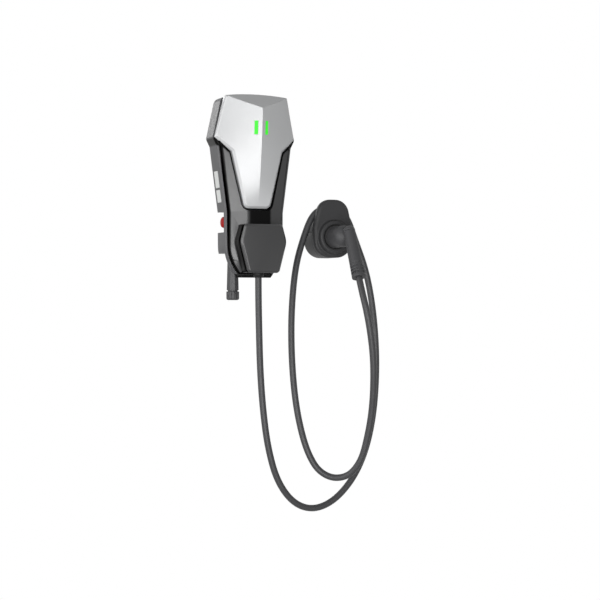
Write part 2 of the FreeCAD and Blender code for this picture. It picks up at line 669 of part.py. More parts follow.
# Trim cover: a bright hood with a crisp ridge, drawn to a tail below and cut off by a sloping brow
HULL_SECTIONS = [
    (-80, 69, 0.01, 0.0005), (-46, 77.8, 0.02, 0.0005), (-5, 87.5, 0.18, 0.0008), (60, 97.6, 0.3, 0.0007),
    (125, 105.4, 0.4, 0.0005), (190, 110.2, 0.45, 0.0007), (240, 113, 0.45, 0.001),
]


def hood_section(index, rise, ridge, slope, curve):
    """Level section of the hood: two arcs that meet in the ridge, over a flat back."""
    drop = slope * s.hull_half + curve * s.hull_half * s.hull_half
    swell = curve * s.hull_half * s.hull_half / 4
    bend = (s.hull_half * s.hull_half + drop * drop) / (8 * swell) + swell / 2
    sketch = doc.addObject("Sketcher::SketchObject", f"hood_section_{index}")
    place(sketch, z=rise)
    draw(sketch, [
        (s.hull_half, -s.hull_back), (-s.hull_half, -s.hull_back), (-s.hull_half, drop - ridge),
        (0, -ridge), (s.hull_half, drop - ridge),
    ], None, {2: bend, 3: bend})
    return sketch


hood = doc.addObject("Part::Loft", "hood")
hood.Sections = [hood_section(i, *row) for i, row in enumerate(HULL_SECTIONS, start=1)]
hood.Solid = True
doc.recompute()
brow_profile = doc.addObject("Sketcher::SketchObject", "brow_profile")
place(brow_profile, turn=SIDE_ON)
draw(brow_profile, [
    (s.brow_depth - 2 * s.ridge_top_depth, 2 * s.ridge_top_rise - s.brow_rise),
    ((s.ridge_top_depth - 3 * s.brow_depth) / 2, (3 * s.brow_rise - s.ridge_top_rise) / 2),
    ((s.ridge_top_depth - 3 * s.brow_depth) / 2, 2 * s.brow_rise),
    (s.brow_depth - 2 * s.ridge_top_depth, 2 * s.brow_rise),
])
doc.recompute()
brow = extruded("brow", brow_profile, 4 * s.hull_half, x=-2 * s.hull_half, along=Vector(1, 0, 0))
trim_back = shelf_front + s.fit_gap
trim_tail_back = s.pocket_floor + s.fit_gap
tail_clear = block("tail_clear", -REACH, -trim_tail_back, as_size(s.skirt_rise) - REACH,
                   2 * REACH, trim_tail_back, REACH)
trim_outside = cut("trim_outside", common("trim_block", hood, slab("trim_slab", trim_outline, trim_back,
                                                                  2 * s.nose_depth)), brow)


def on_lower_edge(p):
    """True for a point on the front edge of the tail and the shoulders, below the trim's corner."""
    return p.z < s.trim_rise.number - 1 and p.y < -trim_tail_back.number - 8


trim_edged = edged("trim_edged", trim_outside, "Chamfer", s.trim_bevel, on_lower_edge)
trim_hollow = cut("trim_hollow",
                  common("trim_hollow_block",
                         moved("hood_inside", hood, y=s.trim_wall * 1.15),
                         slab("trim_inside_slab", trim_outline, trim_back - 1, 2 * s.nose_depth,
                              s.trim_wall)),
                  moved("brow_inside", brow, y=s.trim_wall, z=-s.trim_wall))
light_low = s.light_rise - s.light_tall / 2
windows = [block(f"window_{i}", middle - s.light_wide / 2 - s.fit_gap, -2 * s.nose_depth,
                 light_low - s.fit_gap, s.light_wide + 2 * s.fit_gap, s.nose_depth,
                 s.light_tall + 2 * s.fit_gap)
           for i, middle in enumerate((s.light_shift, -s.light_shift), start=1)]
node("trim_cover", cut("trim_cover", trim_edged, trim_hollow, tail_clear, *windows))

# Reader cover: a lid over the neck
reader_bar = slab("reader_bar", reader_outline, reader_back, s.reader_depth)
reader_lid = edged("reader_lid", reader_bar, "Chamfer", s.reader_bevel,
                   lambda p: abs(p.y + s.reader_depth.number) < 0.01)
node("reader_cover", cut("reader_cover", reader_lid,
                         slab("reader_inside", reader_outline, reader_back - 1,
                              s.reader_depth - s.reader_wall, lid_inset)))

# Status light and its board, behind the ridge
light_back = s.status_depth + s.board
node("status_board", block("status_board", -s.status_half, -light_back, s.light_rise - s.status_tall / 2,
                           2 * s.status_half, s.board, s.status_tall))
light_front = light_back + s.light_base_thick
light_foot = block("light_foot", -s.light_base / 2, -light_front, light_low, s.light_base,
                   s.light_base_thick, s.light_tall)
light_stems = [block(f"light_stem_{i}", middle - s.light_wide / 2, -2 * s.nose_depth, light_low, s.light_wide,
                     2 * s.nose_depth - light_front, s.light_tall)
               for i, middle in enumerate((s.light_shift, -s.light_shift), start=1)]
light_bars = common("light_bars", moved("hood_proud", hood, y=-s.light_proud),
                    fuse("light_stems", *light_stems))
node("status_light", fuse("status_light", light_foot, light_bars))

# Boards on standoffs, with relays, a current sensor and terminal blocks
board_front = s.board_depth + s.board
power_plate = block("power_plate", -s.power_half, -board_front, -s.power_drop, 2 * s.power_half, s.board,
                    s.power_drop + s.power_rise)
button_room = block("button_room", -s.power_half, -board_front, notch_low - 2 * s.wall,
                    s.power_half - s.button_room, s.board, 2 * s.notch_half + 4 * s.wall)
node("power_board", cut("power_board", power_plate, button_room,
                        *rods("power_hole", power_posts, s.post_stud, s.board_depth, board_front)))
control_plate = block("control_plate", -s.control_half, -board_front, s.control_base_rise,
                      2 * s.control_half, s.board, s.control_rise - s.control_base_rise)
node("control_board", cut("control_board", control_plate,
                          *rods("control_hole", control_posts, s.post_stud, s.board_depth, board_front)))
post_height = s.post_foot + s.board_depth - tray_floor_depth
standoff = turned("standoff", [
    (0, 0), (s.post_foot, 0), (s.post_foot, s.post_foot), (s.post_round, s.post_foot),
    (s.post_round, post_height), (s.post_stud, post_height),
    (s.post_stud, post_height + s.post_stud_long), (0, post_height + s.post_stud_long),
])
node("board_standoffs", group("board_standoffs", *[
    moved(f"standoff_{i}", standoff, x, s.post_foot - tray_floor_depth, z, FACING_FRONT)
    for i, (x, z) in enumerate(power_posts + control_posts, start=1)]))
relays = [block(f"relay_{i}", side - s.relay_wide / 2, -board_front - s.relay_deep,
                s.relay_rise - s.relay_tall / 2, s.relay_wide, s.relay_deep, s.relay_tall)
          for i, side in enumerate((s.relay_shift, -s.relay_shift), start=1)]
node("power_relays", group("power_relays", *relays))
node("leakage_sensor", turned("leakage_sensor", [
    (s.sensor_hole, 0), (s.sensor_round, 0), (s.sensor_round, s.sensor_thick),
    (s.sensor_hole, s.sensor_thick),
], {2: 3, 3: 3}))
place(NODES["leakage_sensor"], y=-board_front, z=-s.sensor_drop, turn=FACING_FRONT)


def terminal_block(name, middle):
    """A terminal block with a screw well in front and a wire hole below for each wire."""
    low = -s.power_drop + 2 * s.post_inset
    front = board_front + s.terminal_deep
    body = block(name + "_body", middle - s.terminal_wide / 2, -front, low, s.terminal_wide,
                 s.terminal_deep, s.terminal_tall)
    columns = [middle + s.terminal_pitch * step for step in (-2, -1, 0, 1, 2)]
    wells = rods(name + "_well", [(x, low + s.terminal_tall / 2) for x in columns], s.terminal_hole,
                 front - s.terminal_hole_deep, front)
    wires = [rod(f"{name}_wire_{i}", s.terminal_hole, s.terminal_hole_deep / 2, x,
                 -board_front - s.terminal_deep / 2, low)
             for i, x in enumerate(columns, start=1)]
    return cut(name, body, *wells, *wires)


node("supply_terminal_block", terminal_block("supply_terminal_block", -s.terminal_shift))
node("output_terminal_block", terminal_block("output_terminal_block", s.terminal_shift))
reader_board_front = reader_board_back + s.board
node("reader_board", block("reader_board", -s.reader_board_half, -reader_board_front,
                           reader_middle - s.reader_board_tall / 2, 2 * s.reader_board_half, s.board,
                           s.reader_board_tall))

# Stop button: a collar through the notch wall, a plunger that slides in it and a head that turns
collar_foot = -s.notch_floor + s.stop_tube_long
tube_long = s.stop_tube_long
collar_top = tube_long + s.stop_collar_thick
node("stop_collar", place(turned("stop_collar", [
    (s.stop_bore, 0), (s.stop_tube_round, 0), (s.stop_tube_round, tube_long),
    (s.stop_collar_round, tube_long), (s.stop_collar_round, collar_top), (s.stop_bore, collar_top),
], {4: 2}), collar_foot, -s.stop_depth, -s.notch_drop, FACING_LEFT))
lock_nut_body = doc.addObject("Part::Prism", "lock_nut_body")
lock_nut_body.Polygon = 6
tie(lock_nut_body, Circumradius=s.lock_nut_round, Height=s.lock_nut_thick)
place(lock_nut_body, collar_foot, -s.stop_depth, -s.notch_drop, FACING_LEFT)
node("stop_lock_nut", cut("stop_lock_nut", lock_nut_body, rod(
    "lock_nut_bore", s.stop_tube_round, s.lock_nut_thick, collar_foot, -s.stop_depth, -s.notch_drop,
    FACING_LEFT)))
stem_long = s.stop_reach - s.stop_head_thick - s.fit_gap - s.stop_stem_end
node("stop_plunger", place(turned("stop_plunger", [
    (0, 0), (s.stop_stem_round, 0), (s.stop_stem_round, stem_long), (s.stop_tip_round, stem_long),
    (s.stop_tip_round, stem_long + s.stop_tip_long), (0, stem_long + s.stop_tip_long),
]), -s.stop_stem_end, -s.stop_depth, -s.notch_drop, FACING_LEFT))
tip_well = s.stop_tip_long + s.fit_gap
node("stop_head", place(turned("stop_head", [
    (s.stop_tip_bore, 0), (s.stop_head_round, 0), (s.stop_head_round, s.stop_head_thick),
    (0, s.stop_head_thick), (0, tip_well), (s.stop_tip_bore, tip_well),
], {2: s.stop_head_thick * 0.45, 1: 1.5}), s.stop_head_thick - s.stop_reach, -s.stop_depth, -s.notch_drop,
    FACING_LEFT))
contact_box = block("contact_box", collar_foot, -s.stop_depth - s.contact_block_deep / 2,
                    -s.notch_drop - s.contact_block_wide / 2, s.contact_block_long,
                    s.contact_block_deep, s.contact_block_wide)
node("stop_contact_block", cut("stop_contact_block", contact_box, rod(
    "contact_bore", s.contact_bore, s.contact_bore_long, collar_foot + s.contact_bore_long,
    -s.stop_depth, -s.notch_drop, FACING_LEFT)))

# Supply gland: an eight-sided sleeve with a fluted nut and a seal round the supply cable
sleeve_foot = -s.entry_drop - s.sleeve_long
sleeve_ends = []
for end, radius, rise in (("top", s.sleeve_top_round, -s.entry_drop), ("foot", s.sleeve_round, sleeve_foot)):
    ring = doc.addObject("Part::RegularPolygon", "sleeve_" + end)
    ring.Polygon = 8
    tie(ring, Circumradius=radius)
    sleeve_ends.append(place(ring, -s.supply_shift, -s.supply_depth, rise))
sleeve_body = ruled("sleeve_body", *sleeve_ends)
neck_foot = sleeve_foot - s.sleeve_neck_long
spigot_foot = neck_foot - s.gland_spigot_long
seal_foot = spigot_foot - s.gland_seal_long
nut_foot = neck_foot - s.gland_nut_long


def on_gland(name, radius, low, high):
    """A cylinder about the supply gland's axis between two levels."""
    return rod(name, radius, as_size(high) - low, -s.supply_shift, -s.supply_depth, low)


node("supply_gland_sleeve", cut("supply_gland_sleeve", fuse(
    "sleeve_full", sleeve_body,
    on_gland("gland_thread", s.gland_thread, -s.entry_drop, s.gland_thread_long - s.entry_drop),
    on_gland("gland_neck", s.sleeve_neck, neck_foot, sleeve_foot),
    on_gland("gland_spigot", s.gland_spigot, spigot_foot, neck_foot),
), on_gland("sleeve_bore", s.supply_bore, spigot_foot, s.gland_thread_long - s.entry_drop)))
nut_blank = place(turned("nut_blank", [
    (s.supply_bore, 0), (s.gland_nut_round, 0), (s.gland_nut_round, s.gland_nut_long),
    (s.supply_bore, s.gland_nut_long),
], {1: s.gland_nut_dome, 2: 1}), -s.supply_shift, -s.supply_depth, nut_foot)
flutes = []
for i in range(12):
    across = Size(math.cos(math.radians(30 * i)), f"cos({30 * i})")
    deep = Size(math.sin(math.radians(30 * i)), f"sin({30 * i})")
    flutes.append(rod(f"flute_{i + 1}", s.gland_flute, s.gland_nut_long,
                      s.gland_nut_round * across - s.supply_shift,
                      s.gland_nut_round * deep - s.supply_depth, nut_foot))
node("supply_gland_nut", cut("supply_gland_nut", nut_blank,
                             on_gland("nut_well", s.gland_spigot, seal_foot, neck_foot), *flutes))
node("supply_gland_seal", cut("supply_gland_seal",
                              on_gland("seal_body", s.gland_spigot, seal_foot, spigot_foot),
                              on_gland("seal_bore", s.supply_bore, seal_foot, spigot_foot)))

# Outlet gland of the charging cable, its nut inside the neck, and the vent plug
outlet_tail = s.outlet_drop * 2
outlet_flange = outlet_tail - s.outlet_drop
outlet_foot = collar_bottom - outlet_tail
outlet_top = outlet_tail + s.outlet_thread_long
outlet_blank = place(turned("outlet_blank", [
    (0, 0), (s.outlet_tail, 0), (s.outlet_round, outlet_flange), (s.outlet_round, outlet_tail),
    (s.outlet_thread, outlet_tail), (s.outlet_thread, outlet_top), (0, outlet_top),
]), 0, -outlet_depth, outlet_foot)
node("outlet_gland", cut("outlet_gland", outlet_blank, rod(
    "outlet_wires", s.outlet_wire_round, s.outlet_thread_long + s.outlet_drop, 0, -outlet_depth,
    collar_bottom - s.outlet_drop)))
outlet_nut_foot = collar_bottom + s.front_wall
outlet_nut_body = doc.addObject("Part::Prism", "outlet_nut_body")
outlet_nut_body.Polygon = 6
tie(outlet_nut_body, Circumradius=s.outlet_nut_round, Height=s.outlet_nut_thick)
place(outlet_nut_body, 0, -outlet_depth, outlet_nut_foot)
node("outlet_gland_nut", cut("outlet_gland_nut", outlet_nut_body, rod(
    "outlet_nut_bore", s.outlet_thread, s.outlet_nut_thick, 0, -outlet_depth, outlet_nut_foot)))
node("vent_plug", place(turned("vent_plug", [
    (0, 0), (s.vent_round, 0), (s.vent_round, s.vent_drop), (s.vent_spigot, s.vent_drop),
    (s.vent_spigot, s.vent_drop + s.vent_spigot_long), (0, s.vent_drop + s.vent_spigot_long),
], {1: 1}), s.vent_shift, -s.supply_depth, -s.entry_drop - s.vent_drop))

# Holster: a base with a saddle for the cable, a front shield, a ring and a socket for the plug
shield_outline = front_outline("shield_outline", [
    (s.shield_half, -s.shield_foot_drop), (s.shield_half, s.shield_shoulder_rise),
    (s.shield_top_half, s.shield_rise),
], {0: s.shield_foot_round, 2: s.shield_top_round}, x=s.holster_shift, z=-s.holster_drop)


def on_holster(name, radius, back, front, rise=0):
    """A cylinder along the depth about the holster's middle line."""
    return rod(name, radius, as_size(front) - back, s.holster_shift, -as_size(back),
               rise - s.holster_drop, FACING_FRONT)


block_top = s.block_rise - s.holster_drop
holster_solid = fuse(
    "holster_solid",
    on_holster("saddle", s.saddle_round, 0, s.saddle_depth, s.saddle_rise),
    common("holster_block", slab("holster_block_all", shield_outline, 0, s.saddle_depth),
           below("holster_block_top", block_top)),
)
holster_room = fuse(
    "holster_room",
    on_holster("saddle_room", s.saddle_round - s.holster_wall, s.holster_plate, s.saddle_depth,
               s.saddle_rise),
    common("block_room", slab("block_room_all", shield_outline, s.holster_plate, s.saddle_depth,
                              s.holster_wall), below("block_room_top", block_top - s.holster_wall)),
)
holster_low = -s.holster_drop - s.holster_screw_half
holster_high = s.holster_screw_half - s.holster_drop
holster_spots = [(s.holster_shift + s.holster_screw_half, holster_high),
                 (s.holster_shift - s.holster_screw_half, holster_high),
                 (s.holster_shift + s.holster_screw_half, holster_low),
                 (s.holster_shift - s.holster_screw_half, holster_low)]
node("holster_base", cut("holster_base", holster_solid, holster_room,
                         *rods("holster_hole", holster_spots, s.shell_screw_round, 0, s.holster_plate)))
tongue_front = s.saddle_depth + s.tongue_thick
tongue = edged("tongue", slab("tongue_bar", shield_outline, s.saddle_depth, tongue_front), "Fillet",
               s.tongue_round, lambda p: abs(p.y + tongue_front.number) < 0.01)
socket_outside = s.socket_round + s.socket_wall
node("holster_front", cut("holster_front", tongue, on_holster(
    "front_hole", socket_outside, s.saddle_depth, tongue_front)))
ring_long = s.collar_depth - tongue_front
node("holster_ring", place(turned("holster_ring", [
    (s.socket_round, 0), (s.collar_round, 0), (s.collar_face_round, ring_long),
    (s.socket_round, ring_long),
], {2: 5, 3: 4}), s.holster_shift, -tongue_front, -s.holster_drop, FACING_FRONT))
node("holster_socket", cut("holster_socket",
                           on_holster("socket_tube", socket_outside, s.holster_plate, tongue_front),
                           on_holster("socket_bore", s.socket_round, s.socket_floor, tongue_front)))

# Plug: a round nose with its contacts, a domed barrel and a handle that leans outward
lean_out = Size(math.sin(math.radians(s.handle_lean.number)), "sin(Sizes.handle_lean)")
lean_down = Size(math.cos(math.radians(s.handle_lean.number)), "cos(Sizes.handle_lean)")


def on_handle(thing, along):
    """Put a turned thing on the handle's axis, a distance down from the barrel's middle line."""
    turn = Rotation(Vector(1, 0, 0), 180 - s.handle_lean.number)
    return place(thing, s.holster_shift, -s.elbow_depth - along * lean_out,
                 -s.holster_drop - along * lean_down, turn)


nose_bar = on_holster("nose_bar", s.plug_nose_round, s.plug_nose_tip, s.barrel_back)
nose_flat = block("nose_flat", s.holster_shift - s.plug_nose_round, -s.barrel_back,
                  s.plug_nose_flat - s.holster_drop, 2 * s.plug_nose_round, s.barrel_back, s.plug_nose_round)
nose_flat_room = block("nose_flat_room", s.holster_shift - s.plug_nose_round, -s.barrel_back,
                       s.plug_nose_flat - s.plug_nose_wall - s.holster_drop, 2 * s.plug_nose_round,
                       s.barrel_back, s.plug_nose_round)
nose_room = cut("nose_room", on_holster("nose_room_full", s.plug_nose_round - s.plug_nose_wall,
                                        s.plug_nose_tip, s.plug_nose_floor), nose_flat_room)
node("plug_nose", cut("plug_nose", nose_bar, nose_flat, nose_room))
PINS = [(s.pin_side, 0), (-s.pin_side, 0), (0, 0), (s.pin_low_side, -s.pin_low_drop),
        (-s.pin_low_side, -s.pin_low_drop)]
SIGNALS = [(s.signal_side, s.signal_rise), (-s.signal_side, s.signal_rise)]
pin_tip = s.plug_nose_floor - s.pin_long
contacts = []
for name, spots, radius, bore in (("pin", PINS, s.pin_round, s.pin_bore),
                                  ("signal", SIGNALS, s.signal_round, s.signal_bore)):
    at = [(s.holster_shift + x, as_size(z) - s.holster_drop) for x, z in spots]
    outsides = rods(name, at, radius, pin_tip, s.plug_nose_floor)
    bores = rods(name + "_bore", at, bore, pin_tip, s.plug_nose_floor - s.pin_long / 4)
    contacts += [cut(f"{name}_sleeve_{i}", outside, hole)
                 for i, (outside, hole) in enumerate(zip(outsides, bores), start=1)]
node("plug_contacts", group("plug_contacts", *contacts))
node("plug_seal", cut("plug_seal", on_holster("seal_ring", s.seal_ring_round, s.barrel_back,
                                              s.barrel_back + s.seal_ring_long),
                      on_holster("seal_ring_hole", s.barrel_round, s.barrel_back,
                                 s.barrel_back + s.seal_ring_long)))
barrel_blank = place(turned("barrel_blank", [
    (0, 0), (s.barrel_round, 0), (s.barrel_round, s.barrel_edge), (0, s.barrel_long),
], {2: s.barrel_curve}), s.holster_shift, -s.barrel_back, -s.holster_drop, FACING_FRONT)
handle_seat = on_handle(rod("handle_seat", s.handle_seat, 2 * s.handle_long), -s.handle_long)
node("plug_barrel", cut("plug_barrel", barrel_blank, handle_seat))
node("plug_cap", on_handle(turned("plug_cap", [
    (0, 0), (s.handle_top_round, 0), (s.handle_top_round, s.cap_long), (0, s.cap_long),
], {1: s.cap_dome}), -s.handle_top - s.cap_long))
node("plug_handle", on_handle(turned("plug_handle", [
    (0, 0), (s.handle_top_round, 0), (s.handle_round, s.handle_long), (0, s.handle_long),
]), -s.handle_top))
boot_at = s.handle_long - s.handle_top
boot_blank = turned("boot_blank", [
    (0, 0), (s.handle_round, 0), (s.boot_round, s.boot_long), (0, s.boot_long),
], {2: 2})
slots = []
for i in range(3):
    rise = s.boot_slot_pitch * (i + 1)
    slots.append(cut(f"boot_slot_{i + 1}",
                     rod(f"boot_slot_full_{i + 1}", s.boot_round + 1, s.boot_slot, z=rise),
                     rod(f"boot_core_{i + 1}", s.boot_round - s.boot_slot_deep, s.boot_slot, z=rise),
                     block(f"boot_rib_{i + 1}", -s.boot_rib, -2 * s.boot_round, rise, 2 * s.boot_rib,
                           4 * s.boot_round, s.boot_slot)))
node("plug_boot", on_handle(cut("plug_boot", boot_blank, *slots), boot_at))

# Charging cable: straight runs joined by arcs, from the outlet gland over the saddle to the plug's boot
cable_start = (0, -outlet_depth, outlet_foot)
boot_end = boot_at + s.boot_long
cable_end = (s.holster_shift, -s.elbow_depth - boot_end * lean_out, -s.holster_drop - boot_end * lean_down)
ROUTE = [
    (0, -80, -262), (1, -82, -345), (4, -81, -438), (12, -79, -535), (26, -76, -628), (52, -71, -711),
    (97, -65, -768), (152, -60, -788), (209, -57, -770), (260, -54, -722), (295, -51, -662),
    (318, -48, -588), (331, -45, -500), (334, -43, -397), (325, -41, -288), (307, -39, -196),
    (278, -38, -123), (255, -38, -62), (225, -38, -42), (187, -38, -42), (158, -38, -62),
    (134, -39, -120), (112, -43, -190), (100, -48, -288), (97, -53, -381), (100, -58, -467),
    (107, -64, -540), (118, -74, -604), (132, -81, -650), (152, -92, -688), (183, -112, -707),
    (215, -139, -698), (235, -164, -659), (242, -181, -606), (246, -197, -548), (243, -215, -484),
    (235, -231, -410), (223, -239, -345), (212, -239, -291), (206, -227.1, -248.5),
]
spots = [Vector(*[size.number if isinstance(size, Size) else size for size in point])
         for point in [cable_start, *ROUTE, cable_end]]
edges = []
radii = []
at = spots[0]
for before, corner, after in zip(spots, spots[1:], spots[2:]):
    incoming = (corner - before).normalize()
    outgoing = (after - corner).normalize()
    half_turn = incoming.getAngle(outgoing) / 2
    reach = 0.45 * min((corner - before).Length, (after - corner).Length)
    enter = corner - incoming * reach
    leave = corner + outgoing * reach
    radius = reach / math.tan(half_turn)
    middle = corner + (enter + leave - corner * 2).normalize() * (radius / math.cos(half_turn) - radius)
    edges += [Part.LineSegment(at, enter).toShape(), Part.Arc(enter, middle, leave).toShape()]
    radii.append(round(radius))
    at = leave
edges.append(Part.LineSegment(at, spots[-1]).toShape())
cable_wire = Part.Wire(edges)
ring = Part.Wire([Part.Circle(spots[0], spots[1] - spots[0], s.cable_round.number).toShape()])
cable = cable_wire.makePipeShell([ring], True, True)
cable_volume = math.pi * s.cable_round.number ** 2 * cable_wire.Length
print("cable radii", radii)
print("cable length", round(cable_wire.Length), "volume over expected", round(cable.Volume / cable_volume, 4))
node("charging_cable", solid("charging_cable", cable))

# Checks and files
doc.recompute()
broken = [thing.Label for thing in doc.Objects if "Invalid" in thing.State or "Error" in thing.State]
if broken:
    raise RuntimeError(f"did not recompute: {broken}")
for name, thing in NODES.items():
    if thing.Shape.isNull() or not thing.Shape.isValid() or not thing.Shape.Solids:
        raise RuntimeError(f"{name} has no valid solid")
os.makedirs("parts", exist_ok=True)
for name, thing in NODES.items():
    thing.Shape.exportStep(f"parts/{name}.step")
    print(name, len(thing.Shape.Solids), round(thing.Shape.Volume))
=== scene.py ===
"""Wall-mounted charging point for electric cars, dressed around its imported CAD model.

Frame: X to the right seen from the front, Y into the wall, Z up, in metres. The wall is the plane
Y = 0, and the origin is the middle of the wall bracket's back face.
"""
import math

import bmesh
import bpy
import numpy as np
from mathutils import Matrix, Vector


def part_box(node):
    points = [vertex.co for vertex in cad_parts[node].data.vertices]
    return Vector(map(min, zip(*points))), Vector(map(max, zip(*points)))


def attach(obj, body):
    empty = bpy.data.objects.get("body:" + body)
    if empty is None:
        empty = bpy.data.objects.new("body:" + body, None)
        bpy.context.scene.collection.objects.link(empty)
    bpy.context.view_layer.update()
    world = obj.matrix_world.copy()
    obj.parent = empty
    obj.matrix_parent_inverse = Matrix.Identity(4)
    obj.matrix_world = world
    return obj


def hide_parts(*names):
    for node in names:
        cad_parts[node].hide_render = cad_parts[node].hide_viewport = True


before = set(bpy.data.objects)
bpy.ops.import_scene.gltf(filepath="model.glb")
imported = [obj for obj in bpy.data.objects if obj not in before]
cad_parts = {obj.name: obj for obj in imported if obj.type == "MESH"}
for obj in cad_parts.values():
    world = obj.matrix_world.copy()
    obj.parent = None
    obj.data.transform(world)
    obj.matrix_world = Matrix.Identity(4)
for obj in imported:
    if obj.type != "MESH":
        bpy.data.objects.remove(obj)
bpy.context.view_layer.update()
scene = bpy.context.scene
scene.view_settings.view_transform = "Standard"

# Camera. It stands to the left of the wallbox and a little below its middle, about 3.7 m away, and
# looks level along a line turned 23 degrees to the right, through a long lens.
CAMERA_PLACE = (-1.3402, -3.4941, -0.2707)
CAMERA_TURN = math.radians(-23)
LEVEL_GAZE = math.radians(90)


def in_scene(name, data):
    """A new object in the scene, at the origin, with the given mesh, curve, lamp or camera."""
    piece = bpy.data.objects.new(name, data)
    scene.collection.objects.link(piece)
    return piece


camera_data = bpy.data.cameras.new("camera")
camera_data.lens = 91.2
camera_data.sensor_width = 36
camera = in_scene("camera", camera_data)
camera.location = CAMERA_PLACE
camera.rotation_euler = (LEVEL_GAZE, 0, CAMERA_TURN)
scene.camera = camera

# Studio. The floor, well below the hanging cable, and the world look white but give little light. A
# large low lamp behind the camera does most of the work, two on the left and one behind the part light
# the bevels and the flanks, and a weak one fills from the right.
FLOOR_LEVEL = -2.4
FLOOR_HALF = 40
WHITE = (1, 1, 1, 1)
floor_corners = [(FLOOR_HALF * x, FLOOR_HALF * y, FLOOR_LEVEL)
                 for x, y in ((-1, -1), (1, -1), (1, 1), (-1, 1))]
floor_mesh = bpy.data.meshes.new("floor")
floor_mesh.from_pydata(floor_corners, [], [(0, 1, 2, 3)])
floor = in_scene("floor", floor_mesh)


def worked_out(tree, kind, operation, *inputs):
    """The result of one Math or VectorMath node: the operation over its inputs, each a socket or a value."""
    node = tree.nodes.new("ShaderNode" + kind)
    node.operation = operation
    for socket, given in zip(node.inputs, inputs):
        if isinstance(given, bpy.types.NodeSocket):
            tree.links.new(given, socket)
        else:
            socket.default_value = given
    return node.outputs[0]


def white_when_seen(tree, lit, white, output):
    """Camera, glossy and transmission rays get the white shader, and light on surfaces gets the lit one:
    the mix factor is the largest of the three ray flags."""
    path = tree.nodes.new("ShaderNodeLightPath")
    camera_ray, glossy_ray = path.outputs["Is Camera Ray"], path.outputs["Is Glossy Ray"]
    direct = worked_out(tree, "Math", "MAXIMUM", camera_ray, glossy_ray)
    seen = worked_out(tree, "Math", "MAXIMUM", direct, path.outputs["Is Transmission Ray"])
    choose = tree.nodes.new("ShaderNodeMixShader")
    tree.links.new(seen, choose.inputs["Fac"])
    tree.links.new(lit.outputs[0], choose.inputs[1])
    tree.links.new(white.outputs[0], choose.inputs[2])
    tree.links.new(choose.outputs[0], tree.nodes[output].inputs["Surface"])


world = bpy.data.worlds.new("studio")
world.use_nodes = True
scene.world = world
sky = world.node_tree
ambient = sky.nodes["Background"]
ambient.inputs["Color"].default_value = WHITE
ambient.inputs["Strength"].default_value = 0.03
backdrop = sky.nodes.new("ShaderNodeBackground")
backdrop.inputs["Color"].default_value = WHITE
backdrop.inputs["Strength"].default_value = 1.0
white_when_seen(sky, ambient, backdrop, "World Output")

floor_paint = bpy.data.materials.new("floor_paint")
floor_paint.use_nodes = True
paint = floor_paint.node_tree
matte = paint.nodes["Principled BSDF"]
matte.inputs["Base Color"].default_value = (0.25, 0.25, 0.25, 1)
matte.inputs["Roughness"].default_value = 0.9
glow = paint.nodes.new("ShaderNodeEmission")
glow.inputs["Strength"].default_value = 1.0
white_when_seen(paint, matte, glow, "Material Output")
floor_mesh.materials.append(floor_paint)


def softbox(name, place, target, wide, tall, watts):
    """A rectangular lamp at a place, its -Z axis along the line from there to a target."""
    data = bpy.data.lights.new(name, "AREA")
    data.shape = "RECTANGLE"
    data.size = wide
    data.size_y = tall
    data.energy = watts
    lamp = in_scene(name, data)
    lamp.location = place
    lamp.rotation_euler = (Vector(target) - Vector(place)).to_track_quat("-Z", "Y").to_euler()


softbox("key", (-1.75, -4.6, -1.05), (0.0, 0, -0.1), wide=3.2, tall=2.6, watts=262)
softbox("side", (-3.6, -1.4, 0.3), (0.0, 0, -0.1), wide=1.2, tall=3.0, watts=76)
softbox("edge", (-3.4, 0.5, 0.4), (0.0, 0, -0.1), wide=1.4, tall=2.2, watts=25)
softbox("rim", (-1.3, 3.6, 1.3), (0.0, 0, 0.1), wide=1.2, tall=0.8, watts=14)
softbox("fill", (2.2, -3.2, -0.6), (0.1, 0, -0.1), wide=1.2, tall=1.6, watts=4)


# Wall bracket. A folded sheet of zinc-plated steel behind the housing, with two lips that stand off
# the wall. Cap screws of plain steel hold the rear shell to the lips and the two shells together.
TONE_PATCHES, POLISH_PATCHES = 11.0, 37.0


def grain_group():
    """Moulded grain: fine noise for the height of the grain, wide noise for slow changes of tone and
    of polish. Tone is 1 plus a wide noise about zero, times its strength."""
    group = bpy.data.node_groups.new("moulded_grain", "ShaderNodeTree")
    for name, value in (("Grain Scale", 900.0), ("Tone Strength", 0.12), ("Roughness", 0.5),
                        ("Polish Strength", 0.1)):
        group.interface.new_socket(name, in_out="INPUT", socket_type="NodeSocketFloat").default_value = value
    for name in ("Tone", "Roughness", "Height"):
        group.interface.new_socket(name, in_out="OUTPUT", socket_type="NodeSocketFloat")
    given = group.nodes.new("NodeGroupInput")
    result = group.nodes.new("NodeGroupOutput")
    place = group.nodes.new("ShaderNodeTexCoord").outputs["Object"]

    def noise(scale, detail):
        """Noise over Object coordinates, between 0 and 1."""
        texture = group.nodes.new("ShaderNodeTexNoise")
        texture.inputs["Detail"].default_value = detail
        group.links.new(place, texture.inputs["Vector"])
        if isinstance(scale, float):
            texture.inputs["Scale"].default_value = scale
        else:
            group.links.new(scale, texture.inputs["Scale"])
        return texture.outputs["Fac"]

    def swing(source, strength, about):
        """(noise - 0.5) times strength, plus a middle value."""
        centred = worked_out(group, "Math", "SUBTRACT", source, 0.5)
        return worked_out(group, "Math", "MULTIPLY_ADD", centred, strength, about)

    height = noise(given.outputs["Grain Scale"], detail=3.0)
    tone = swing(noise(TONE_PATCHES, detail=5.0), given.outputs["Tone Strength"], 1.0)
    polish_noise = noise(POLISH_PATCHES, detail=4.0)
    polish = swing(polish_noise, given.outputs["Polish Strength"], given.outputs["Roughness"])
    group.links.new(height, result.inputs["Height"])
    group.links.new(tone, result.inputs["Tone"])
    group.links.new(polish, result.inputs["Roughness"])
    return group


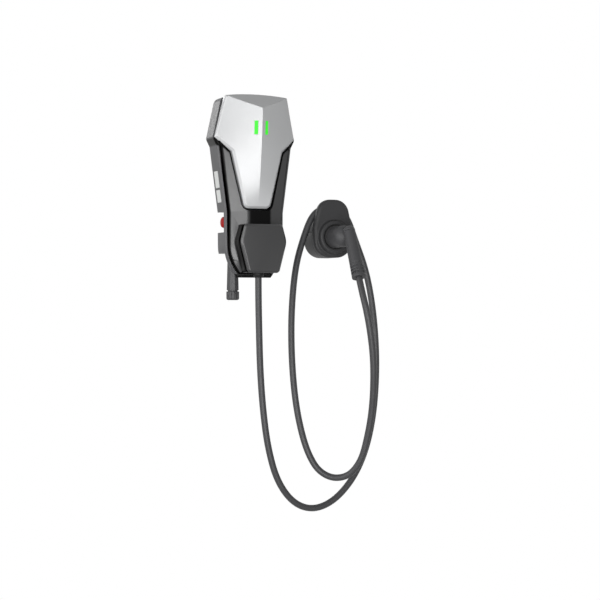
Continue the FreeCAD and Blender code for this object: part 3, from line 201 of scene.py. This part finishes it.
moulded_grain = grain_group()


def grained(name, colour, roughness, grain_scale=900.0, grain_depth=0.00006, tone=0.12, polish=0.1,
            metallic=0.0, gloss=0.5):
    """A material of one colour times the grain's tone, with the grain's roughness and its height as bump."""
    material = bpy.data.materials.new(name)
    material.use_nodes = True
    tree = material.node_tree
    shader = tree.nodes["Principled BSDF"]
    shader.inputs["Metallic"].default_value = metallic
    shader.inputs["Specular IOR Level"].default_value = gloss
    grain = tree.nodes.new("ShaderNodeGroup")
    grain.node_tree = moulded_grain
    grain.inputs["Grain Scale"].default_value = grain_scale
    grain.inputs["Tone Strength"].default_value = tone
    grain.inputs["Roughness"].default_value = roughness
    grain.inputs["Polish Strength"].default_value = polish
    tint = tree.nodes.new("ShaderNodeVectorMath")
    tint.operation = "SCALE"
    tint.name = "tint"
    tint.inputs[0].default_value = colour
    bump = tree.nodes.new("ShaderNodeBump")
    bump.inputs["Distance"].default_value = grain_depth
    tree.links.new(grain.outputs["Tone"], tint.inputs["Scale"])
    tree.links.new(tint.outputs[0], shader.inputs["Base Color"])
    tree.links.new(grain.outputs["Roughness"], shader.inputs["Roughness"])
    tree.links.new(grain.outputs["Height"], bump.inputs["Height"])
    tree.links.new(bump.outputs["Normal"], shader.inputs["Normal"])
    return material


def dress(material, *nodes):
    """Put a material on CAD nodes as they are."""
    for name in nodes:
        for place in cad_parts[name].material_slots:
            place.material = material


SAME_POINT = 0.00002
CLOSED_CORNER = 0.00003
ALMOST_FLAT = math.radians(0.6)
CREASE_MARGIN = 20
ROUNDING_STEPS = 3


def merged_copy(nodes):
    """CAD nodes' own triangles in one form, with the corners that lie on one point made one."""
    form = bmesh.new()
    for node in nodes:
        form.from_mesh(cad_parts[node].data)
    bmesh.ops.remove_doubles(form, verts=form.verts, dist=SAME_POINT)
    return form


def linked_copy(name, form, material):
    """A piece in the scene with a form's mesh, all of one material."""
    mesh = bpy.data.meshes.new(name)
    form.to_mesh(mesh)
    form.free()
    mesh.materials.clear()
    mesh.materials.append(material)
    mesh.polygons.foreach_set("material_index", np.zeros(len(mesh.polygons), np.int32))
    return in_scene(name, mesh)


def softened(name, node, material, width, body="housing", angle=25, crease=None, reshape=None):
    """A CAD node's own form with its edges rounded: its triangles are merged, flat ones are joined, every
    edge sharper than the angle (in degrees) gets a rounding of the given width, and every edge sharper
    than the crease, or than the angle plus a margin, stays crisp. A form that is reshaped first has the
    corners of its rounding closed."""
    form = merged_copy([node])
    if reshape:
        reshape(form)
    bmesh.ops.dissolve_limit(form, angle_limit=ALMOST_FLAT, verts=form.verts, edges=form.edges)
    piece = linked_copy(name, form, material)
    mesh = piece.data
    mesh.polygons.foreach_set("use_smooth", np.ones(len(mesh.polygons), bool))
    mesh.set_sharp_from_angle(angle=math.radians(crease or angle + CREASE_MARGIN))
    rounding = piece.modifiers.new("edge_rounding", "BEVEL")
    rounding.width = width
    rounding.segments = ROUNDING_STEPS
    rounding.limit_method = "ANGLE"
    rounding.angle_limit = math.radians(angle)
    rounding.use_clamp_overlap = False
    rounding.harden_normals = True
    if reshape:
        closed = piece.modifiers.new("closed_corners", "WELD")
        closed.merge_threshold = CLOSED_CORNER
    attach(piece, body)
    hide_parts(node)


zinc = grained("zinc_plated_sheet", (0.55, 0.56, 0.57), roughness=0.38, grain_scale=160.0, tone=0.3,
               polish=0.3, metallic=0.9)
screw_steel = grained("screw_steel", (0.5, 0.5, 0.5), roughness=0.3, grain_scale=500.0, tone=0.15,
                      metallic=1.0)
dress(zinc, "wall_bracket")
dress(screw_steel, "bracket_screws", "cover_screws")

# Rear shell and its seal. A dark grey tray moulded in fine-grained plastic, with a bevelled rim, a
# flared head and a notch for the stop button. Painted shade makes the shoulders' undersides and the foot
# near black. A soft black seal lies between it and the front shell.
# Boxes of painted shade on the rear shell: under the shoulders and at the foot.
SHOULDER_LOW, SHOULDER_HIGH, SHOULDER_EDGE = (-0.2, -0.1, 0.102), (0.2, -0.004, 0.1195), 0.004
REAR_FOOT_LOW, REAR_FOOT_HIGH, REAR_FOOT_EDGE = (-0.2, -0.1, -0.3), (0.2, -0.04, -0.208), 0.001
REAR_PAINTED_SHADE = ((SHOULDER_LOW, SHOULDER_HIGH, SHOULDER_EDGE),
                (REAR_FOOT_LOW, REAR_FOOT_HIGH, REAR_FOOT_EDGE))


def place_mask_group():
    """A box with soft sides in Object coordinates: on each axis 1 between Low and High, falling to 0 over
    Edge, and the product of the three."""
    group = bpy.data.node_groups.new("place_mask", "ShaderNodeTree")
    for name in ("Low", "High"):
        group.interface.new_socket(name, in_out="INPUT", socket_type="NodeSocketVector")
    group.interface.new_socket("Edge", in_out="INPUT", socket_type="NodeSocketFloat")
    group.interface.new_socket("Mask", in_out="OUTPUT", socket_type="NodeSocketFloat")
    given = group.nodes.new("NodeGroupInput")
    result = group.nodes.new("NodeGroupOutput")
    place = group.nodes.new("ShaderNodeTexCoord").outputs["Object"]

    def ramp(high, low):
        """(high - low) / Edge + 0.5 on each axis, kept between 0 and 1."""
        step = worked_out(group, "VectorMath", "SUBTRACT", high, low)
        share = worked_out(group, "VectorMath", "DIVIDE", step, given.outputs["Edge"])
        centred = worked_out(group, "VectorMath", "ADD", share, (0.5, 0.5, 0.5))
        not_below = worked_out(group, "VectorMath", "MAXIMUM", centred, (0, 0, 0))
        return worked_out(group, "VectorMath", "MINIMUM", not_below, (1, 1, 1))

    above_low = ramp(place, given.outputs["Low"])
    below_high = ramp(given.outputs["High"], place)
    axes = group.nodes.new("ShaderNodeSeparateXYZ")
    group.links.new(worked_out(group, "VectorMath", "MULTIPLY", above_low, below_high), axes.inputs[0])
    across_and_deep = worked_out(group, "Math", "MULTIPLY", axes.outputs["X"], axes.outputs["Y"])
    whole = worked_out(group, "Math", "MULTIPLY", across_and_deep, axes.outputs["Z"])
    group.links.new(whole, result.inputs["Mask"])
    return group


place_mask = place_mask_group()
# The places of a Mix node's sockets when it mixes colours.
MIX_SHARE, MIX_UNDER, MIX_OVER, MIX_COLOUR = 0, 6, 7, 2


def paint_shade(material, boxes, shade):
    """Painted shade inside boxes given as low corner, high corner and width of the soft edge: there the
    base colour goes to a near-black shade. The share of the painted shade is the largest of the boxes'
    masks, and it is also how metallic the place is, so that the place loses its reflection too."""
    tree = material.node_tree
    shader = tree.nodes["Principled BSDF"]
    masks = []
    for low, high, edge_width in boxes:
        mask = tree.nodes.new("ShaderNodeGroup")
        mask.node_tree = place_mask
        mask.inputs["Low"].default_value = low
        mask.inputs["High"].default_value = high
        mask.inputs["Edge"].default_value = edge_width
        masks.append(mask.outputs["Mask"])
    inside = masks[0]
    for other in masks[1:]:
        inside = worked_out(tree, "Math", "MAXIMUM", inside, other)
    blacked = tree.nodes.new("ShaderNodeMix")
    blacked.data_type = "RGBA"
    blacked.inputs[MIX_OVER].default_value = (shade, shade, shade, 1)
    tree.links.new(inside, blacked.inputs[MIX_SHARE])
    tree.links.new(tree.nodes["tint"].outputs[0], blacked.inputs[MIX_UNDER])
    tree.links.new(blacked.outputs[MIX_COLOUR], shader.inputs["Base Color"])
    # Painted shade: metallic with a near-black base colour takes away the reflection as well.
    tree.links.new(inside, shader.inputs["Metallic"])


rear_plastic = grained("rear_plastic", (0.05, 0.05, 0.053), roughness=0.42, grain_scale=1100.0, gloss=0.35)
seal_rubber = grained("seal_rubber", (0.012, 0.012, 0.012), roughness=0.75, grain_scale=700.0)
# Painted shade: the shoulders' undersides and the foot are made near black and without reflection.
paint_shade(rear_plastic, REAR_PAINTED_SHADE, shade=0.012)
softened("rear_shell_moulding", "rear_shell", rear_plastic, width=0.0007)
dress(seal_rubber, "parting_seal", "supply_gland_seal", "plug_seal")

# Labels. Two bare pieces of pale plastic film with rounded corners, stuck on the left flank of the rear
# shell. Each is named with its low and its high edge, and its depth is measured from the wall.
LABELS = {"label_upper": (0.001, 0.041), "label_lower": (-0.0343, -0.0043)}
LABEL_BACK, LABEL_FRONT = 0.011, 0.0375
LABEL_ROUND = 0.0022
LABEL_PROUD, LABEL_SUNK = 0.00012, 0.00005
FLANK_FOOT_HALF, FLANK_FOOT_HEIGHT = 0.076, -0.058
FLANK_HEAD_HALF, FLANK_HEAD_HEIGHT = 0.097, 0.101
label_film = grained("label_film", (0.55, 0.56, 0.55), roughness=0.42, grain_scale=300.0,
                     grain_depth=0.00002, tone=0.08)


def flank_x(height):
    """Left flank of the rear shell: a straight line from its foot to its head, by height."""
    slope = (FLANK_HEAD_HALF - FLANK_FOOT_HALF) / (FLANK_HEAD_HEIGHT - FLANK_FOOT_HEIGHT)
    return -(FLANK_FOOT_HALF + (height - FLANK_FOOT_HEIGHT) * slope)


def rounded_rectangle(low, high, radius, steps=8):
    """Points round a rectangle whose corners are quarter circles: centre plus radius times (cos, sin) of
    an angle that grows by 90 degrees at each corner, anticlockwise from the upper right one."""
    turn = np.linspace(0, np.pi / 2, steps)
    left, right = low[0] + radius, high[0] - radius
    bottom, top = low[1] + radius, high[1] - radius
    arcs = []
    for quarter, centre in enumerate(((right, top), (left, top), (left, bottom), (right, bottom))):
        angle = turn + quarter * np.pi / 2
        arcs.append(np.c_[centre[0] + radius * np.cos(angle), centre[1] + radius * np.sin(angle)])
    return np.concatenate(arcs)


for label_name, (label_low, label_high) in LABELS.items():
    edge = rounded_rectangle((LABEL_BACK, label_low), (LABEL_FRONT, label_high), LABEL_ROUND)
    rim = np.c_[flank_x(edge[:, 1]), -edge[:, 0], edge[:, 1]]
    film = np.concatenate([rim + (LABEL_SUNK, 0, 0), rim - (LABEL_PROUD, 0, 0)])
    count = len(rim)
    back_face = tuple(range(count - 1, -1, -1))
    front_face = tuple(range(count, 2 * count))
    sides = [(i, (i + 1) % count, count + (i + 1) % count, count + i) for i in range(count)]
    label_mesh = bpy.data.meshes.new(label_name)
    label_mesh.from_pydata(film.tolist(), [], [back_face, front_face, *sides])
    label_mesh.materials.append(label_film)
    label = in_scene(label_name, label_mesh)
    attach(label, "housing")

# Boards and electrical parts inside: green boards on brass standoffs, black relays and a black
# current sensor, and light grey terminal blocks for the supply and the charging cable.
board_green = grained("board_green", (0.02, 0.17, 0.06), roughness=0.35, grain_scale=400.0, tone=0.25)
terminal_grey = grained("terminal_grey", (0.42, 0.43, 0.41), roughness=0.5)
relay_black = grained("relay_black", (0.018, 0.018, 0.018), roughness=0.42)
standoff_brass = grained("standoff_brass", (0.72, 0.52, 0.24), roughness=0.28, tone=0.15, metallic=1.0)
dress(board_green, "status_board", "reader_board", "control_board", "power_board")
dress(terminal_grey, "supply_terminal_block", "output_terminal_block", "stop_contact_block")
dress(relay_black, "power_relays", "leakage_sensor")
dress(standoff_brass, "board_standoffs")

# Stop button. A grey collar through the floor of the notch, held by a black nut, with a plunger that
# slides in it and a domed red head that twists to release.
collar_grey = grained("collar_grey", (0.22, 0.22, 0.23), roughness=0.45)
stop_red = grained("stop_red", (0.29, 0.004, 0.003), roughness=0.5, grain_scale=1400.0, tone=0.3, gloss=0.12)
nut_black = grained("nut_black", (0.022, 0.022, 0.023), roughness=0.5)
softened("stop_collar_moulding", "stop_collar", collar_grey, width=0.0005)
softened("stop_head_moulding", "stop_head", stop_red, width=0.0006, body="stop_head")
dress(collar_grey, "stop_plunger")
dress(nut_black, "stop_lock_nut", "outlet_gland_nut")

# Supply gland and vent plug. An eight-sided sleeve screwed into the underside, with a fluted nut that
# squeezes a seal round the supply cable, and a small round vent plug beside it. Black polyamide.
polyamide = grained("gland_polyamide", (0.035, 0.035, 0.037), roughness=0.42, grain_scale=800.0, gloss=0.3)
softened("supply_sleeve_moulding", "supply_gland_sleeve", polyamide, width=0.0006, angle=20)
softened("supply_nut_moulding", "supply_gland_nut", polyamide, width=0.0003, angle=35)
dress(polyamide, "vent_plug")

# Front shell. A dark faceted hull moulded in smooth plastic, with a skirt round its foot, a pocket for
# the trim cover and a neck for the reader cover. Painted shade makes the skirt, the neck, the underside
# and the strip between the two covers deep black, where shade falls in the grooves and underneath.
# Boxes of painted shade on the front shell: the strip between the covers, the neck behind the reader lid,
# the skirt and the underside.
STRIP_LOW, STRIP_HIGH, STRIP_EDGE = (-0.0225, -0.2, -0.2), (0.033, -0.05, -0.02), 0.006
NECK_LOW, NECK_HIGH, NECK_EDGE = (-0.2, -0.2, -0.3), (0.2, -0.073, -0.0895), 0.001
SKIRT_DEPTH, SKIRT_EDGE = 0.018, 0.001
SKIRT_LOW = (-0.2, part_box("front_shell")[1][1] - SKIRT_DEPTH, -0.3)
SKIRT_HIGH = (0.2, 0.1, 0.3)
FOOT_LOW, FOOT_HIGH, FOOT_EDGE = (-0.2, -0.2, -0.3), (0.2, 0.1, -0.2035), 0.002
FRONT_PAINTED_SHADE = ((STRIP_LOW, STRIP_HIGH, STRIP_EDGE), (NECK_LOW, NECK_HIGH, NECK_EDGE),
                 (SKIRT_LOW, SKIRT_HIGH, SKIRT_EDGE), (FOOT_LOW, FOOT_HIGH, FOOT_EDGE))
front_plastic = grained("front_plastic", (0.014, 0.014, 0.0147), roughness=0.32, grain_scale=1200.0,
                        grain_depth=0.00004, polish=0.03)
# Painted shade in those boxes: near black and without reflection.
paint_shade(front_plastic, FRONT_PAINTED_SHADE, shade=0.006)
softened("front_shell_moulding", "front_shell", front_plastic, width=0.0018, angle=12,
         crease=11)

# Trim cover. A hood moulded in one piece and lacquered silver, with a crisp ridge down its middle and
# a brow that slopes back to the wall at the top.
silver_lacquer = grained("silver_lacquer", (0.42, 0.425, 0.43), roughness=0.36, grain_scale=2500.0,
                         grain_depth=0.00001, tone=0.03, polish=0.06, metallic=0.08)
RIDGE_HALF = 0.0062
RIDGE_LEAN = 0.02
RIDGE_FACING = 0.9
RIDGE_GAP = 0.0002
ONE_PLANE_CUTOFF = 0.05
NO_LENGTH = 0.00001


def sharpen_ridge(form):
    """The flat strip along the ridge is closed up: each of its corners moves to the middle plane, to the
    point where that plane meets the planes of the faces round the corner (least squares). Where those
    are one plane only, the corner keeps its height and moves to it along Y."""
    form.normal_update()
    strip = [face for face in form.faces
             if abs(face.normal.x) < RIDGE_LEAN and face.normal.y < -RIDGE_FACING
             and all(abs(corner.co.x) < RIDGE_HALF for corner in face.verts)]
    in_strip = set(strip)
    corners = sorted({corner for face in strip for corner in face.verts},
                     key=lambda corner: (corner.co.z, corner.co.x, corner.co.y))
    moves = {}
    for corner in corners:
        rows = []
        sides = []
        for face in corner.link_faces:
            if face in in_strip:
                continue
            normal = face.normal
            rows.append((normal.y, normal.z))
            sides.append(normal.dot(corner.co))
        if rows:
            solved, _, rank, _ = np.linalg.lstsq(np.array(rows), np.array(sides), rcond=ONE_PLANE_CUTOFF)
            if rank == 1:
                normal_y = np.mean([row[0] for row in rows])
                normal_z = np.mean([row[1] for row in rows])
                solved = ((np.mean(sides) - normal_z * corner.co.z) / normal_y, corner.co.z)
            moves[corner] = (0.0, solved[0], solved[1])
    for corner, place in moves.items():
        corner.co = place
    bmesh.ops.remove_doubles(form, verts=list(moves), dist=RIDGE_GAP)
    bmesh.ops.dissolve_degenerate(form, dist=NO_LENGTH, edges=form.edges)


CROWDED_SIDE, CROWDED_FOOT, CROWDED_GAP = 0.078, 0.12, 0.0013
CHEEK_SIDE, CHEEK_FOOT = 0.079, 0.126
CHEEK_ANGLE = math.radians(55)
CHEEK_FRONT, CHEEK_WALL = 0.8, 0.9
CHEEK_ROUND = 0.0055
CHEEK_STEPS = 4
CIRCULAR = 0.5


def shape_hood(form):
    """The ridge is sharpened, and the two long cheeks, where a front face meets a side wall above the
    hood's widest point, get one wide round each, after corners crowded along them are made one."""
    sharpen_ridge(form)
    bmesh.ops.dissolve_limit(form, angle_limit=ALMOST_FLAT, verts=form.verts, edges=form.edges)
    crowded = [corner for corner in form.verts
               if abs(corner.co.x) > CROWDED_SIDE and corner.co.z > CROWDED_FOOT]
    bmesh.ops.remove_doubles(form, verts=crowded, dist=CROWDED_GAP)
    form.normal_update()
    cheeks = [edge for edge in form.edges
              if len(edge.link_faces) == 2 and edge.calc_face_angle_signed(0) > CHEEK_ANGLE
              and all(abs(corner.co.x) > CHEEK_SIDE and corner.co.z > CHEEK_FOOT for corner in edge.verts)
              and min(face.normal.y for face in edge.link_faces) < -CHEEK_FRONT
              and max(abs(face.normal.x) for face in edge.link_faces) > CHEEK_WALL]
    bmesh.ops.bevel(form, geom=cheeks, offset=CHEEK_ROUND, offset_type="OFFSET", segments=CHEEK_STEPS,
                    profile=CIRCULAR, affect="EDGES", clamp_overlap=False)


softened("trim_hood", "trim_cover", silver_lacquer, width=0.0009, angle=9, crease=7,
         reshape=shape_hood)

# Status light. One light guide of green plastic on the status board, with a bar through the hood on
# each side of the ridge. The bars glow and stand a little proud of the lacquer.
light_green = grained("light_green", (0.02, 0.3, 0.015), roughness=0.4, tone=0.04, gloss=0.15)
glow_shader = light_green.node_tree.nodes["Principled BSDF"]
glow_shader.inputs["Emission Color"].default_value = (0.05, 0.75, 0.03, 1)
glow_shader.inputs["Emission Strength"].default_value = 0.85
dress(light_green, "status_light")

# Reader cover. A bevelled lid moulded in satin dark grey plastic. It stands on the front shell's neck
# over the card reader, and its face is left bare.
reader_plastic = grained("reader_plastic", (0.014, 0.014, 0.0147), roughness=0.3, grain_scale=1500.0,
                         grain_depth=0.00004, polish=0.04)
softened("reader_lid", "reader_cover", reader_plastic, width=0.0008)

# Outlet gland. A short gland of black plastic under the neck, where the charging cable comes out. It is
# screwed up from below into a nut inside the neck.
outlet_black = grained("outlet_black", (0.008, 0.008, 0.008), roughness=0.5, grain_scale=800.0, gloss=0.15)
softened("outlet_gland_moulding", "outlet_gland", outlet_black, width=0.0005)

# Holster. A base screwed to the wall with a saddle that carries the cable, a rounded front shield, a
# ring and a socket in which the plug is parked. Dark grey moulded plastic.
holster_plastic = grained("holster_plastic", (0.027, 0.027, 0.028), roughness=0.5, grain_scale=1000.0,
                          gloss=0.2)
SKIN_SQUARE = 0.001
SKIN_PASSES = 14
HALF_WAY = 0.5


def melted(name, nodes, material):
    """CAD nodes' own forms run together as one moulding: their merged triangles become one skin of small
    squares, and each point of the skin moves half-way to the middle of its neighbours, pass by pass."""
    piece = linked_copy(name, merged_copy(nodes), material)
    skin = piece.modifiers.new("one_skin", "REMESH")
    skin.mode = "VOXEL"
    skin.voxel_size = SKIN_SQUARE
    skin.use_smooth_shade = True
    relaxed = piece.modifiers.new("relaxed", "SMOOTH")
    relaxed.factor = HALF_WAY
    relaxed.iterations = SKIN_PASSES
    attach(piece, "housing")
    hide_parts(*nodes)


softened("holster_base_moulding", "holster_base", holster_plastic, width=0.0012)
melted("holster_shield", ["holster_front", "holster_ring"], holster_plastic)
dress(holster_plastic, "holster_socket")

# Plug. A hard nose with seven silver-plated contacts, a domed barrel, and a soft handle that leans
# out from it, closed by a cap above and by the cable's slotted boot below.
plug_plastic = grained("plug_plastic", (0.042, 0.042, 0.044), roughness=0.45, gloss=0.3)
grip_rubber = grained("grip_rubber", (0.034, 0.034, 0.036), roughness=0.58, grain_scale=700.0, gloss=0.35)
contact_silver = grained("contact_silver", (0.8, 0.78, 0.72), roughness=0.25, metallic=1.0)
melted("plug_grip", ["plug_barrel", "plug_handle"], grip_rubber)
softened("plug_cap_moulding", "plug_cap", plug_plastic, width=0.0008)
softened("plug_boot_moulding", "plug_boot", grip_rubber, width=0.0006)
dress(plug_plastic, "plug_nose")
dress(contact_silver, "plug_contacts")

# Charging cable. A rubber-sheathed cord, 16 mm thick, moulded into the plug's boot and held in the outlet
# gland. It hangs down, goes over the holster's saddle and hangs again to the plug. The points of its
# route, in millimetres, are listed.
CABLE_ROUTE = [
    (0, -80, -217), (0, -80, -262), (1, -82, -345), (4, -81, -438), (12, -79, -535), (26, -76, -628),
    (52, -71, -711), (97, -65, -768), (152, -60, -788), (209, -57, -770), (260, -54, -722),
    (295, -51, -662), (318, -48, -588), (331, -45, -500), (334, -43, -397), (325, -41, -288),
    (307, -39, -196), (278, -38, -123), (255, -38, -62), (225, -38, -42), (187, -38, -42),
    (158, -38, -62), (134, -39, -120), (112, -43, -190), (100, -48, -288), (97, -53, -381),
    (100, -58, -467), (107, -64, -540), (118, -74, -604), (132, -81, -650), (152, -92, -688),
    (183, -112, -707), (215, -139, -698), (235, -164, -659), (242, -181, -606), (246, -197, -548),
    (243, -215, -484), (235, -231, -410), (223, -239, -345), (212, -239, -291), (206, -227.1, -248.5),
    (206, -212, -217.5),
]
CABLE_ROUND = 0.008
MM_PER_M = 1000
cable_points = np.array(CABLE_ROUTE) / MM_PER_M
spline_points = np.c_[cable_points, np.ones(len(cable_points))].astype(np.float32)
cable_line = bpy.data.curves.new("charging_cable_sheath", "CURVE")
cable_line.dimensions = "3D"
cable_line.bevel_depth = CABLE_ROUND
cable_line.bevel_resolution = 8
cable_line.use_fill_caps = True
spline = cable_line.splines.new("NURBS")
spline.points.add(len(cable_points) - 1)
spline.points.foreach_set("co", spline_points.ravel())
spline.order_u = 3
spline.use_endpoint_u = True
spline.resolution_u = 12
cable = in_scene("charging_cable_sheath", cable_line)
cable_rubber = grained("cable_rubber", (0.034, 0.034, 0.036), roughness=0.45, grain_scale=500.0, gloss=0.3)
cable_line.materials.append(cable_rubber)
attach(cable, "housing")
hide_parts("charging_cable")
